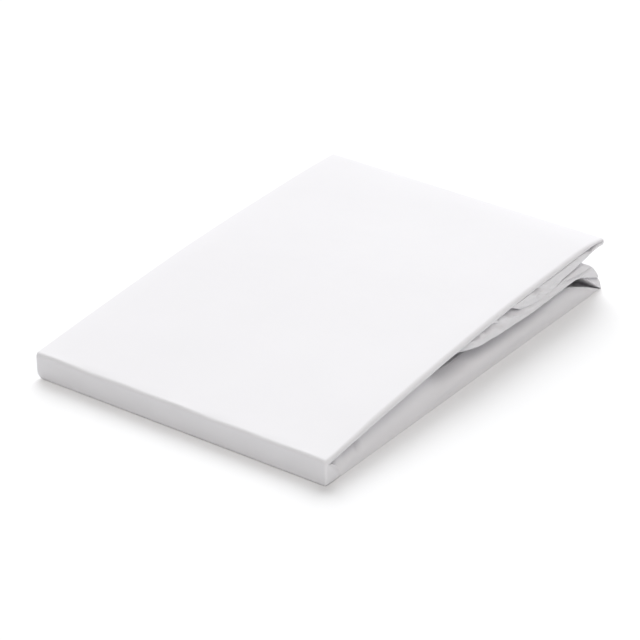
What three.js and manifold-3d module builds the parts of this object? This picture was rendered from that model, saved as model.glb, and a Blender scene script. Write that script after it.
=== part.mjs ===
// A white flat sheet, folded into a flat packet that lies on a surface.
// The sheet is doubled along the right rim, then folded as a gate: both ends are turned in,
// and the two halves are closed over each other at the spine. Its layers are a little apart.
// Along the open right side the lowest layer stands up as a wall, with a pleat at the spine.
// Millimetres, +Z up. X runs along the spine and +Y from the spine to the far folds.
import * as THREE from 'three';
import { mergeVertices } from 'three/addons/utils/BufferGeometryUtils.js';
import Module from 'manifold-3d';

// Driving sizes of the packet
const packetWidth = 270;
const packetDepth = 380;
const layer = 2;
const layerGap = 0.4;
const spineWad = 4.6;

// Rounding of the folds
const spineTopRadius = 3;
const spineFootRadius = 1.2;
const insideRadius = 0.7;
const rimRadius = 2.6;
const leftFootRadius = 7;

// Far ends: the top panel overhangs the base, more at the left
const overhangLeft = 5;
const overhangRight = 1.6;
const farFoldRound = 2.4;
const farFoldInside = 0.3;

// The far end of the base curls up and back into the lower flap
const baseDepth = 381.2;
const curlReach = 33;
const curlInsideReach = 33;
const curlInsideEnd = 8;
const curlInsideHollow = 1.8;
const curlHollow = 1.15;

// Both flaps end just short of the spine. Their right rims draw back under the top panel
// between the spine and the distance fullFrom.
const flapRimInset = 11;
const upperFlap = { end: 9, leftInset: 1.5, drawnBackTo: 222, fullFrom: 262 };
const lowerFlap = { end: 11, leftInset: 3, drawnBackTo: 166, fullFrom: 210 };

// The wall on the right side
const wallThickness = 1.6;
const wallHeight = 23.2;
const wallSet = 0.5;
const wallFoot = 1.4;
const wallEnd = 377;
const wallClearance = 0.7;
const wallDropFrom = 322;
const wallEndHeight = 2.2;
const wallDropBulge = 1.4;
const wallLean = 6;
const wallFarLean = 1.2;
const wallLeanCurve = 2;
const wallLeanFullFrom = 58;
const wallLeanFadeFrom = 150;
const wallLeanFadeTo = 235;

// The pleat in the wall beside the spine
const pleatFoot = { from: 16, height: 3.4 };
const pleatNear = { from: 5, height: 20 };
const pleatFar = { from: 29, height: 21 };
const pleatDepth = 3.4;

// Steps of the meshes
const panelSteps = 13;
const flapSteps = 23;
const panelCrowding = 1.4;
const roundSteps = 4;
const spineSteps = 5;
const foldSteps = 6;
const curlSteps = 9;
const acrossSteps = 8;
const rimSteps = 6;
const wallSteps = 7;
const wallRowsAtPleat = [1.6, 5, 8.5, 12, 16, 19, 23, 29, 38];
const wallRowsFrom = 52;
const wallRowsTo = 315;
const wallRowSpacing = 15;
const wallDropSteps = 5;

// Sections across the packet, one row for each distance from the spine.
// crown is the height of the top face. top, upper, lower and base are the thicknesses of the
// top panel, the two flaps and the base, and slit and slot are the gaps under top and upper.
const leftSections = [
  { from: 0, crown: 21.0, top: 4.7, slit: 0.6, upper: 4.7, slot: 0.6, lower: 4.7, base: 4.7 },
  { from: 70, crown: 28.9, top: 5.3, slit: 1.5, upper: 5.6, slot: 1.7, lower: 5.8, base: 6.4 },
  { from: 130, crown: 35.0, top: 6.0, slit: 1.9, upper: 6.6, slot: 2.3, lower: 6.8, base: 8.0 },
  { from: 190, crown: 40.4, top: 6.6, slit: 2.2, upper: 7.3, slot: 2.9, lower: 7.6, base: 9.2 },
  { from: 250, crown: 44.1, top: 6.8, slit: 2.6, upper: 7.6, slot: 3.1, lower: 8.6, base: 9.8 },
  { from: 310, crown: 46.8, top: 6.2, slit: 2.0, upper: 7.6, slot: 2.8, lower: 9.6, base: 9.6 },
  { from: 350, crown: 48.2, top: 4.4, slit: 1.0, upper: 5.4, slot: 4.4, lower: 9.6, base: 8.0 },
  { from: 386, crown: 48.5, top: 2.1, slit: 0.4, upper: 2.1, slot: 12.0, lower: 8.6, base: 6.0 },
];
const rightSections = [
  { from: 0, crown: 20.2, top: 4.6, slit: 0.5, upper: 4.6, slot: 0.5, lower: 4.6, base: 4.6 },
  { from: 70, crown: 28.8, top: 4.6, slit: 0.6, upper: 4.4, slot: 0.6, lower: 4.8, base: 4.6 },
  { from: 130, crown: 34.9, top: 4.6, slit: 0.6, upper: 3.4, slot: 0.6, lower: 6.1, base: 4.6 },
  { from: 170, crown: 38.8, top: 4.6, slit: 0.6, upper: 2.6, slot: 0.6, lower: 5.8, base: 4.6 },
  { from: 205, crown: 41.7, top: 4.6, slit: 0.6, upper: 2.4, slot: 0.6, lower: 8.5, base: 4.6 },
  { from: 228, crown: 43.3, top: 4.5, slit: 0.6, upper: 2.8, slot: 0.6, lower: 10.1, base: 4.6 },
  { from: 250, crown: 44.6, top: 4.4, slit: 0.7, upper: 5.6, slot: 0.6, lower: 9.2, base: 4.6 },
  { from: 275, crown: 45.7, top: 4.3, slit: 0.7, upper: 8.8, slot: 0.6, lower: 7.4, base: 4.6 },
  { from: 310, crown: 46.8, top: 4.2, slit: 0.7, upper: 10.0, slot: 0.6, lower: 6.0, base: 4.6 },
  { from: 348, crown: 47.9, top: 3.6, slit: 0.6, upper: 7.0, slot: 4.0, lower: 8.9, base: 4.2 },
  { from: 366, crown: 47.3, top: 2.8, slit: 0.5, upper: 4.2, slot: 6.0, lower: 9.0, base: 3.0 },
  { from: 386, crown: 44.2, top: 2.1, slit: 0.4, upper: 2.1, slot: 8.0, lower: 9.0, base: 1.8 },
];

const { lerp, smoothstep, clamp } = THREE.MathUtils;
const turn = (degrees) => THREE.MathUtils.degToRad(degrees);

// A smooth curve through one column of a table
function columnAt(rows, name, from) {
  const last = rows.length - 2;
  let index = 0;
  while (index < last && rows[index + 1].from < from) {
    index += 1;
  }
  const start = rows[index];
  const end = rows[index + 1];
  const before = rows[Math.max(index - 1, 0)];
  const after = rows[Math.min(index + 2, rows.length - 1)];
  const span = end.from - start.from;
  const part = clamp((from - start.from) / span, 0, 1);
  const startSlope = (end[name] - before[name]) / (end.from - before.from);
  const endSlope = (after[name] - start[name]) / (after.from - start.from);
  const square = part * part;
  const cube = square * part;
  return (2 * cube - 3 * square + 1) * start[name]
    + (cube - 2 * square + part) * span * startSlope
    + (3 * square - 2 * cube) * end[name]
    + (cube - square) * span * endSlope;
}

// Heights of all faces at a distance from the spine and a place across, from -1 left to 1 right
function heightsAt(from, across) {
  const share = (across + 1) / 2;
  const size = (name) => lerp(
    columnAt(leftSections, name, from),
    columnAt(rightSections, name, from),
    share,
  );
  const crown = size('crown');
  const topUnder = crown - size('top');
  const upperAbove = topUnder - size('slit');
  const upperUnder = upperAbove - size('upper');
  const lowerAbove = upperUnder - size('slot');
  const lowerUnder = lowerAbove - size('lower');
  const baseAbove = size('base');
  return { crown, topUnder, upperAbove, upperUnder, lowerAbove, lowerUnder, baseAbove };
}

// Steps along a panel come closer together towards the far end
function panelPart(step, steps) {
  return 1 - (1 - step / steps) ** panelCrowding;
}

// Where the fold between the top panel and the upper flap ends
function farFold(across) {
  return packetDepth + lerp(overhangLeft, overhangRight, (across + 1) / 2);
}

// How far the right rim of a flap draws back under the top panel
function rightInsetOf(flap, from) {
  return flapRimInset * (1 - smoothstep(from, flap.drawnBackTo, flap.fullFrom));
}

// Stations along the folded sheet. Each gives, for a place across, the outer and the inner
// face of the doubled sheet as [distance from the spine, height]. The insets are how far its
// two rims draw back from the packet's width.
const stations = [];

function addStation(faces, rightInset = 0, leftInset = 0) {
  stations.push({ faces, rightInset, leftInset });
}

// The upper flap, from its end beside the spine to the far fold
for (let step = 0; step <= flapSteps; step += 1) {
  const part = panelPart(step, flapSteps);
  addStation((across) => {
    const from = lerp(upperFlap.end, farFold(across) - farFoldRound, part);
    const heights = heightsAt(from, across);
    return { outer: [from, heights.upperUnder], inner: [from, heights.upperAbove] };
  }, rightInsetOf(upperFlap, part * packetDepth), upperFlap.leftInset * (1 - part));
}

// The far fold, up from the flap to the top panel
for (let step = 1; step < foldSteps; step += 1) {
  const angle = turn(-90 + 180 * step / foldSteps);
  addStation((across) => {
    const from = farFold(across) - farFoldRound;
    const heights = heightsAt(from, across);
    const outerMiddle = (heights.crown + heights.upperUnder) / 2;
    const outerHalf = (heights.crown - heights.upperUnder) / 2;
    const innerMiddle = (heights.topUnder + heights.upperAbove) / 2;
    const innerHalf = (heights.topUnder - heights.upperAbove) / 2;
    return {
      outer: [from + farFoldRound * Math.cos(angle), outerMiddle + outerHalf * Math.sin(angle)],
      inner: [from + farFoldInside * Math.cos(angle), innerMiddle + innerHalf * Math.sin(angle)],
    };
  });
}

// The top panel, back to the spine
for (let step = panelSteps; step >= 0; step -= 1) {
  const part = panelPart(step, panelSteps);
  addStation((across) => {
    const far = farFold(across) - farFoldRound;
    const outerFrom = lerp(spineTopRadius, far, part);
    const innerFrom = lerp(spineWad + insideRadius, far, part);
    return {
      outer: [outerFrom, heightsAt(outerFrom, across).crown],
      inner: [innerFrom, heightsAt(innerFrom, across).topUnder],
    };
  });
}

// The spine: its soft top edge and its crisp foot
for (let step = 1; step <= roundSteps; step += 1) {
  const angle = turn(90 + 90 * step / roundSteps);
  addStation((across) => {
    const crown = heightsAt(spineTopRadius, across).crown;
    const under = heightsAt(spineWad + insideRadius, across).topUnder;
    return {
      outer: [
        spineTopRadius * (1 + Math.cos(angle)),
        crown - spineTopRadius * (1 - Math.sin(angle)),
      ],
      inner: [
        spineWad + insideRadius * (1 + Math.cos(angle)),
        under - insideRadius * (1 - Math.sin(angle)),
      ],
    };
  });
}
for (let step = 1; step < spineSteps; step += 1) {
  const part = step / spineSteps;
  addStation((across) => {
    const outerTop = heightsAt(spineTopRadius, across).crown - spineTopRadius;
    const innerTop = heightsAt(spineWad + insideRadius, across).topUnder - insideRadius;
    const innerFoot = heightsAt(spineWad + insideRadius, across).baseAbove + insideRadius;
    return {
      outer: [0, lerp(outerTop, spineFootRadius, part)],
      inner: [spineWad, lerp(innerTop, innerFoot, part)],
    };
  });
}
for (let step = 0; step <= roundSteps; step += 1) {
  const angle = turn(180 + 90 * step / roundSteps);
  addStation((across) => {
    const above = heightsAt(spineWad + insideRadius, across).baseAbove;
    return {
      outer: [
        spineFootRadius * (1 + Math.cos(angle)),
        spineFootRadius * (1 + Math.sin(angle)),
      ],
      inner: [
        spineWad + insideRadius * (1 + Math.cos(angle)),
        above + insideRadius * (1 + Math.sin(angle)),
      ],
    };
  });
}

// The base panel, flat on the surface
for (let step = 1; step <= panelSteps; step += 1) {
  const part = panelPart(step, panelSteps);
  addStation((across) => {
    const outerFrom = lerp(spineFootRadius, baseDepth, part);
    const innerFrom = lerp(spineWad + insideRadius, baseDepth - curlInsideEnd, part);
    return {
      outer: [outerFrom, 0],
      inner: [innerFrom, heightsAt(innerFrom, across).baseAbove],
    };
  });
}

// The curl at the far end, up and back
for (let step = 1; step < curlSteps; step += 1) {
  const angle = turn(90 * step / curlSteps);
  addStation((across) => {
    const outerFrom = baseDepth - curlReach;
    const innerFrom = baseDepth - curlInsideEnd - curlInsideReach;
    const above = heightsAt(baseDepth - curlInsideEnd, across).baseAbove;
    const under = heightsAt(innerFrom, across).lowerUnder;
    const outwards = Math.cos(angle) ** curlInsideHollow;
    const upwards = Math.sin(angle) ** curlInsideHollow;
    return {
      outer: [
        outerFrom + curlReach * Math.cos(angle) ** curlHollow,
        heightsAt(outerFrom, across).lowerAbove * Math.sin(angle) ** curlHollow,
      ],
      inner: [innerFrom + curlInsideReach * outwards, lerp(above, under, upwards)],
    };
  });
}

// The lower flap, back to its end beside the spine
for (let step = flapSteps; step >= 0; step -= 1) {
  const part = panelPart(step, flapSteps);
  addStation((across) => {
    const outerFrom = lerp(lowerFlap.end, baseDepth - curlReach, part);
    const innerStart = baseDepth - curlInsideEnd - curlInsideReach;
    const innerFrom = lerp(lowerFlap.end, innerStart, part);
    return {
      outer: [outerFrom, heightsAt(outerFrom, across).lowerAbove],
      inner: [innerFrom, heightsAt(innerFrom, across).lowerUnder],
    };
  }, rightInsetOf(lowerFlap, part * (baseDepth - curlReach)), lowerFlap.leftInset * (1 - part));
}

// A closed body between a front and a back grid of points
function slab(front, back) {
  const rows = front.length;
  const columns = front[0].length;
  const positions = [...front.flat(), ...back.flat()].flat();
  const frontAt = (row, column) => row * columns + column;
  const backAt = (row, column) => (rows + row) * columns + column;
  const indices = [];
  // The corners of a face are given clockwise, as seen from outside
  const quad = (a, b, c, d) => indices.push(a, c, b, a, d, c);
  for (let row = 0; row < rows - 1; row += 1) {
    for (let column = 0; column < columns - 1; column += 1) {
      quad(
        frontAt(row, column),
        frontAt(row, column + 1),
        frontAt(row + 1, column + 1),
        frontAt(row + 1, column),
      );
      quad(
        backAt(row, column),
        backAt(row + 1, column),
        backAt(row + 1, column + 1),
        backAt(row, column + 1),
      );
    }
    const end = columns - 1;
    quad(frontAt(row, 0), frontAt(row + 1, 0), backAt(row + 1, 0), backAt(row, 0));
    quad(frontAt(row, end), backAt(row, end), backAt(row + 1, end), frontAt(row + 1, end));
  }
  for (let column = 0; column < columns - 1; column += 1) {
    const end = rows - 1;
    quad(frontAt(0, column), backAt(0, column), backAt(0, column + 1), frontAt(0, column + 1));
    quad(
      frontAt(end, column),
      frontAt(end, column + 1),
      backAt(end, column + 1),
      backAt(end, column),
    );
  }
  const geometry = new THREE.BufferGeometry();
  geometry.setAttribute('position', new THREE.Float32BufferAttribute(positions, 3));
  geometry.setIndex(indices);
  return geometry;
}

// The left rim is rounded at its foot
function leftFootShift(x, height) {
  const lift = Math.max(leftFootRadius - height, 0);
  const shift = leftFootRadius - Math.sqrt(leftFootRadius ** 2 - lift ** 2);
  return shift * smoothstep(-x, packetWidth / 4, packetWidth / 2);
}

// A point of the doubled sheet, at a share of its thickness from the outer to the inner face.
// The inside of the fold at the right rim lies one layer in from both faces. The layers are
// pressed thinner where the sheet is pinched, so that they stay a little apart.
function sheetPoint(station, x, share, inside) {
  const across = clamp(2 * x / packetWidth, -1, 1);
  const { outer, inner } = station.faces(across);
  const thickness = Math.hypot(inner[0] - outer[0], inner[1] - outer[1]);
  const pressed = Math.min(layer, (thickness - layerGap) / 2);
  const skin = inside ? pressed / thickness : 0;
  const part = lerp(skin, 1 - skin, share);
  const from = lerp(outer[0], inner[0], part);
  const height = lerp(outer[1], inner[1], part);
  return [x + leftFootShift(x, height), from - packetDepth / 2, height];
}

// Rows of points over the outer or the inside face of the doubled sheet
function sheetGrid(inside) {
  const depthIn = inside ? layer : 0;
  const radius = inside ? rimRadius - layer : rimRadius;
  return stations.map((station) => {
    const rim = packetWidth / 2 - station.rightInset - depthIn - radius;
    const left = station.leftInset - packetWidth / 2;
    const row = [];
    for (let step = 0; step < acrossSteps; step += 1) {
      row.push(sheetPoint(station, lerp(left, rim, step / acrossSteps), 0, inside));
    }
    for (let step = 0; step <= rimSteps; step += 1) {
      const angle = turn(-90 + 180 * step / rimSteps);
      const share = (1 + Math.sin(angle)) / 2;
      row.push(sheetPoint(station, rim + radius * Math.cos(angle), share, inside));
    }
    for (let step = acrossSteps - 1; step >= 0; step -= 1) {
      row.push(sheetPoint(station, lerp(left, rim, step / acrossSteps), 1, inside));
    }
    return row;
  });
}

// How far the pleat beside the spine draws the wall in
function pleatAt(from, height) {
  const rise = clamp(
    (height - pleatFoot.height) / (pleatNear.height - pleatFoot.height),
    0,
    1,
  );
  const near = lerp(pleatFoot.from, pleatNear.from, rise);
  const far = lerp(pleatFoot.from, pleatFar.from, rise);
  const middle = (near + far) / 2;
  const half = Math.max((far - near) / 2, 1);
  return pleatDepth * rise * Math.max(1 - Math.abs(from - middle) / half, 0);
}

// Height of the wall's top edge: under the top panel, then level, then down to the far foot
function wallTop(from) {
  const under = heightsAt(from, 1).topUnder - wallClearance;
  const drop = clamp((from - wallDropFrom) / (wallEnd - wallDropFrom), 0, 1);
  const bulge = wallDropBulge * Math.sin(Math.PI * drop);
  return lerp(Math.min(wallHeight, under), wallEndHeight, drop) + bulge;
}

// The wall leans in towards its top, more in the near half
function wallPoint(from, share, depthIn) {
  const height = lerp(wallFoot, wallTop(from), share);
  const fade = smoothstep(from, wallLeanFadeFrom, wallLeanFadeTo);
  const start = smoothstep(from, pleatNear.from, wallLeanFullFrom);
  const curve = (height / wallHeight) ** wallLeanCurve;
  const lean = lerp(wallLean, wallFarLean, fade) * start * curve;
  const x = packetWidth / 2 - wallSet - depthIn - lean - pleatAt(from, height);
  return [x, from - packetDepth / 2, height];
}

// Distances from the spine at which the wall has its rows, closer together at the pleat
function wallDistances() {
  const rows = [...wallRowsAtPleat];
  for (let from = wallRowsFrom; from < wallRowsTo; from += wallRowSpacing) {
    rows.push(from);
  }
  for (let step = 0; step <= wallDropSteps; step += 1) {
    rows.push(lerp(wallDropFrom, wallEnd, step / wallDropSteps));
  }
  return rows;
}

function wallGrid(depthIn) {
  return wallDistances().map((from) => {
    const row = [];
    for (let step = 0; step <= wallSteps; step += 1) {
      row.push(wallPoint(from, step / wallSteps, depthIn));
    }
    return row;
  });
}

// Joins closed bodies into one
const solids = await Module();
solids.setup();

function toSolid(geometry) {
  const merged = mergeVertices(geometry);
  return new solids.Manifold(new solids.Mesh({
    numProp: 3,
    vertProperties: new Float32Array(merged.attributes.position.array),
    triVerts: new Uint32Array(merged.index.array),
  }));
}

function toGeometry(solid) {
  const mesh = solid.getMesh();
  const geometry = new THREE.BufferGeometry();
  geometry.setAttribute('position', new THREE.BufferAttribute(mesh.vertProperties, 3));
  geometry.setIndex(new THREE.BufferAttribute(mesh.triVerts, 1));
  return geometry;
}

const folded = toSolid(slab(sheetGrid(false), sheetGrid(true)));
const wall = toSolid(slab(wallGrid(0), wallGrid(wallThickness)));
const geometry = toGeometry(folded.add(wall));

// The origin is the middle of the footprint, on the surface
geometry.computeBoundingBox();
const middle = geometry.boundingBox.getCenter(new THREE.Vector3());
geometry.translate(-middle.x, -middle.y, -geometry.boundingBox.min.z);
geometry.computeVertexNormals();

const cloth = new THREE.MeshStandardMaterial({ color: 0xf5f4f7, roughness: 0.9, metalness: 0 });
const sheet = new THREE.Mesh(geometry, cloth);
sheet.name = 'sheet';

const group = new THREE.Group();
group.add(sheet);
export default group;
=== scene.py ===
import math

import bpy
import numpy as np
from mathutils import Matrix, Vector


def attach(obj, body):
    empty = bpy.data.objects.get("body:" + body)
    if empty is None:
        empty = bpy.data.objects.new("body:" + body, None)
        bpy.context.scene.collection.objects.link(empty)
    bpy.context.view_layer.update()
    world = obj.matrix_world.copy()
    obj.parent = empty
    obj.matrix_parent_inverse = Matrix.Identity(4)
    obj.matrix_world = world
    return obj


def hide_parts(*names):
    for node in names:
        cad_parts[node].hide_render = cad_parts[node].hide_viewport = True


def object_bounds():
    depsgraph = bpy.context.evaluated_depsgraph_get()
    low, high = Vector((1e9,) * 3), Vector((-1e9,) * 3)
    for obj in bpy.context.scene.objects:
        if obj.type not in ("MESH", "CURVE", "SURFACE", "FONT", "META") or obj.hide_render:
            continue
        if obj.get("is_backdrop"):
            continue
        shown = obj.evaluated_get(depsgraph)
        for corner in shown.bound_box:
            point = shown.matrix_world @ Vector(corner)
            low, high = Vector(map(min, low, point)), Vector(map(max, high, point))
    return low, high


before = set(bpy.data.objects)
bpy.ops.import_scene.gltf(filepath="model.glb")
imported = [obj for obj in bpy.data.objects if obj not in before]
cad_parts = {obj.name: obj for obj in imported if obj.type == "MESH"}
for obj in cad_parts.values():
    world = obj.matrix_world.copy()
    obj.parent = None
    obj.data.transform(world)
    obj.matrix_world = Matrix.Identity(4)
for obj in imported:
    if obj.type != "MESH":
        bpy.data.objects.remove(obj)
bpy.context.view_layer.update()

# A white cotton sheet of 1.6 x 2.7 m, folded into a flat packet. Its length is folded into ten
# plies: a zigzag of five, doubled over at the right rim. The ten plies then run through four
# panels: the upper flap, the top, the base and the lower flap.
# Sizes are in millimetres here and become metres in the mesh.
METRE = 0.001
WIDTH = 270.0
HALF = WIDTH / 2
DEPTH = 380.0
SPINE_Y = -192.5
PLIES = 10

# Folds of the packet. The flaps and the lower run are measured along the cloth from their folds.
# The whole packet is lowered by SETTLED, so that its lowest ply rests on the surface.
FLAP_LENGTH = 381.0
SPINE_WAD = 4.6
SPINE_TOP_RADIUS = 3.0
SPINE_FOOT_RADIUS = 0.6
INSIDE_RADIUS = 0.7
OVERHANG_LEFT = 5.0
OVERHANG_RIGHT = 1.6
FAR_FOLD_ROUND = 2.4
FAR_FOLD_INSIDE = 0.3
BASE_DEPTH = 381.2
CURL_REACH = 33.0
CURL_INSIDE_END = 8.0
CURL_INSIDE_HOLLOW = 1.8
CURL_HOLLOW = 1.15
LOWER_LENGTH = BASE_DEPTH - CURL_REACH
LEFT_FOOT_RADIUS = 7.0
SETTLED = 0.08

# Half the cloth's thickness, and half that of its hems, which are HEM_WIDTH metres wide in the flat
# cloth. Where plies are pressed together, it is at most the PINCHED part of their spacing.
CLOTH_HALF = 0.12
HEM_HALF = 0.26
HEM_WIDTH = 0.015
PINCHED = 0.4

# Flaps: where they end beside the spine, and between which distances from it their right rims
# come out from under the top panel
FLAP_INSET = 18.4
UPPER_END, UPPER_LEFT_INSET, UPPER_BACK_TO, UPPER_FULL_FROM = 9.0, 1.5, 216.0, 250.0
LOWER_END, LOWER_LEFT_INSET, LOWER_BACK_TO, LOWER_FULL_FROM = 11.0, 3.0, 154.0, 201.0

# Rims: how far the outermost ply bulges, the share of the thickness that its middle keeps from the
# faces, and how much further in the other plies turn. Where the flaps are creased, their inner
# plies stay back by CREASE_ROOM more, between these distances along the flaps and these angles of
# the curl.
RIM_RADIUS = 2.4
RIM_EDGE = 0.05
INNER_RIM_INSET = 3.2
CURL_RIM_INSET = 1.2
CURL_RIM_INSET_FROM = (350.0, 378.0)
TOP_INNER_RIM_INSET = 0.8
CREASE_ROOM = 7.0
CREASE_ROOM_ALONG = (172.0, 186.0, 298.0, 312.0)
CREASE_ROOM_ANGLES = (0.10, 0.30, 1.15, 1.45)
RIM_POINTS = 33

# Wall on the right side: the lowest layer's rim, which stands up from the base. A pair of numbers
# is where a change starts and where it is complete: a distance, or a height for names in ABOVE.
WALL_END = 377.4
WALL_FADE = (378.0, BASE_DEPTH)
WALL_CLEARANCE = 0.7
WALL_DROP_FROM = 317.0
WALL_END_HEIGHT = 0.8
WALL_DROP_BULGE = 1.5
WALL_SET = 0.6
WALL_SET_FROM = (14.0, 24.0)
WALL_SET_ABOVE = (0.3, 2.5)
WALL_LEAN_FROM = (5.0, 36.0)
WALL_WAVE_FROM = (15.0, 50.0)
WALL_WAVE_ABOVE = (2.0, 8.0)
WALL_FLARE = 0.12
WALL_DEEPEST = 17.4
WALL_ROLL = 4.5
WALL_ROLL_DEPTH = 8.0
WALL_ROLL_ALONG = (318.0, 336.0, 364.0, 377.0)
WALL_PLY_GAP = 0.55
CORNER_OFFSET = 1.6
CORNER_OFFSET_TO = (10.0, 20.0)
CORNER_RECESS = 1.8
CORNER_RECESS_TO = (14.0, 26.0)
CORNER_RECESS_ABOVE = (1.5, 6.0)
CORNER_RADIUS = 2.2
FOOT_CORNER = 0.30
SPINE_FLARE = 0.6
SPINE_FLARE_FROM = 0.55

# Rim profiles: how the outer and the inner side turn, the share where they meet and the depth of
# the outer side's rounding
CRISP = 0.26
UPPER_PROFILE = (CRISP, 0.75, 0.50, 2.4)
TOP_PROFILE = (1.0, CRISP, 0.80, 3.6)
LOWER_PROFILE = (0.75, CRISP, 0.50, 2.4)
CORNER_PROFILE = (0.8, CRISP, 0.60, 2.6)
CORNER_PROFILE_TO = (6.0, 70.0)
INNER_RIM_POWER = 0.7
PROFILES = {
    "upper": UPPER_PROFILE,
    "lower": LOWER_PROFILE,
    "curl": LOWER_PROFILE,
    "base": LOWER_PROFILE,
}

# The flaps' rims stand proud of the top panel's in the far half, the lower one more
PROUD = 0.2
PROUD_FROM = (194.0, 224.0)
LOWER_FLARE = 1.5
LOWER_FLARE_TO = (316.0, 340.0)

# Top edge of the wall: distance, height, how far it is tucked in there and how sharply it turns
WALL_COLUMNS = ("dist", "z", "in", "power")
WALL_ROWS = (
    (0, 21.0, 6.0, 2.0),
    (40, 22.5, 12.0, 1.6),
    (70, 24.0, 14.6, 1.5),
    (115, 26.0, 15.0, 1.5),
    (138, 25.2, 15.0, 2.0),
    (150, 18.0, 15.8, 3.4),
    (160, 14.6, 16.6, 4.6),
    (170, 13.1, 17.0, 5.6),
    (188, 12.7, 17.0, 5.6),
    (208, 14.2, 16.4, 5.0),
    (240, 15.8, 15.6, 4.5),
    (300, 16.8, 14.4, 4.0),
    (322, 19.2, 10.6, 3.2),
    (336, 21.4, 7.0, 2.4),
    (352, 22.4, 4.6, 2.0),
    (366, 22.3, 2.6, 2.0),
    (381, 22.2, 0.8, 2.0),
)

# Lip of the curled fold on the right side: angle, distance, height
LIP_COLUMNS = ("angle", "dist", "z")
LIP_ROWS = (
    (0, 379.4, 0.5),
    (14, 374.2, 4.2),
    (28, 366.8, 9.8),
    (44, 358.4, 16.3),
    (60, 352.2, 20.0),
    (74, 346.4, 22.3),
    (82, 341.2, 23.7),
    (90, 335.5, 24.6),
)
LIP_WIDTH = 14.0
BASE_LIP_FROM = 362.0
LOWER_LIP_FROM = 300.0

# How far the lower flap rises against the top panel beside its right rim: distance, rise. The
# band is how far in from the rim it starts and where it is full.
RISE_COLUMNS = ("dist", "rise")
RISE_BAND = (13.0, 5.0)
RISE_ROWS = (
    (140, 0.0),
    (165, 0.6),
    (190, 3.4),
    (208, 3.8),
    (225, 3.9),
    (238, 2.8),
    (252, 0.8),
    (264, 0.0),
    (400, 0.0),
)

# The upper flap hides its seam with the lower one between these distances
SEAM = (248.0, 260.0, 296.0, 316.0)
SEAM_DROOP = 1.7
SEAM_SET = 0.5
SEAM_POWER = 0.12

# Changes of the upper flap's upper side lie in a band beside its rim, measured in from it
UPPER_BAND = (14.0, 4.0)

# Gap under the top panel's rim near its far tip
TIP_GAP, TIP_GAP_AT, TIP_GAP_SIZE = 3.4, 362.0, 7.0

# The upper flap closes up to the top panel between these distances
LOBE = (242.0, 250.0, 268.0, 277.0)
LOBE_POWER = 0.12
LOBE_RISE = 0.6

# Corner lap beside the spine and the pleat behind it, as (distance from the spine, height)
SPINE_STRAIGHT = 17.2
LAP_FOOT = (16.0, 3.4)
LAP_TOP = (1.2, 18.6)
LAP_TOP_LENGTH = 4.2
LAP_TOP_CORNER = 2.4
LAP_FOOT_LENGTH = 14.6
PLEAT_FAR = (41.0, 21.0)
PLEAT_DEPTH = 5.4
PLEAT_NEAR_SHARE = 0.5
PLEAT_SPREAD = 22.0

# Dents of the wall under the rim: distance, height, size, depth
DENTS = ((45.0, 14.0, 3.3, 8.5), (11.5, 15.6, 3.4, 4.5))

# Soft unevenness: its size, the lengths of its waves and its seed
RIPPLES = {
    "top": (0.10, (46, 63, 88, 120), 3),
    "spine_edge": (0.45, (13, 21, 34, 57), 12),
    "spine": (0.18, (38, 55, 90), 5),
    "curl": (0.7, (48, 70, 110), 8),
    "wall": (0.65, (19, 31, 47, 80), 21),
    "rim": (0.22, (17, 29, 52), 33),
    "inner_rim": (0.22, (17, 29, 52), 31),
    "left": (0.35, (40, 75, 140), 41),
}
SPINE_FACE = 17.0
CURL_ARC = 26.0
CURL_RUN = 340.0
CURL_CALM = (0.8, 1.0)

# Heights at the left and at the right edge, by distance from the spine: the top's upper side, and
# the thickness of each panel and gap below it, down to the base panel
COLUMNS = ("from", "crown", "top", "slit", "upper", "slot", "lower", "base")
LEFT_ROWS = (
    (0, 21.0, 4.7, 0.6, 4.7, 0.6, 4.7, 4.7),
    (70, 28.9, 5.3, 1.5, 5.6, 1.7, 5.8, 6.4),
    (130, 35.0, 6.0, 1.9, 6.6, 2.3, 6.8, 8.0),
    (190, 40.4, 6.6, 2.2, 7.3, 2.9, 7.6, 9.2),
    (250, 44.1, 6.8, 2.6, 7.6, 3.1, 8.6, 9.8),
    (310, 46.8, 6.2, 2.0, 7.6, 2.8, 9.6, 9.6),
    (350, 48.2, 4.4, 1.0, 5.4, 4.4, 9.6, 8.0),
    (386, 48.5, 2.1, 0.4, 2.1, 12.0, 8.6, 6.0),
)
RIGHT_ROWS = (
    (0, 20.2, 4.6, 0.5, 4.6, 0.5, 4.6, 4.6),
    (70, 28.8, 4.6, 0.6, 4.4, 0.6, 4.8, 4.6),
    (130, 34.9, 4.6, 0.6, 3.4, 0.6, 6.1, 4.6),
    (170, 38.8, 4.6, 0.6, 2.6, 0.6, 5.8, 4.6),
    (205, 41.7, 4.6, 0.6, 2.4, 0.6, 8.5, 4.6),
    (228, 43.3, 4.5, 0.6, 2.8, 0.6, 10.1, 4.6),
    (250, 44.6, 4.4, 0.3, 6.0, 0.6, 9.2, 4.6),
    (275, 45.7, 4.3, 0.5, 9.0, 0.6, 7.4, 4.6),
    (310, 46.8, 4.2, 0.7, 10.0, 0.6, 6.0, 4.6),
    (348, 47.9, 3.6, 0.6, 7.0, 4.0, 8.9, 4.2),
    (366, 47.3, 2.8, 0.5, 4.2, 6.0, 9.0, 3.0),
    (386, 44.2, 2.1, 0.4, 2.1, 8.0, 9.0, 1.8),
)

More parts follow.
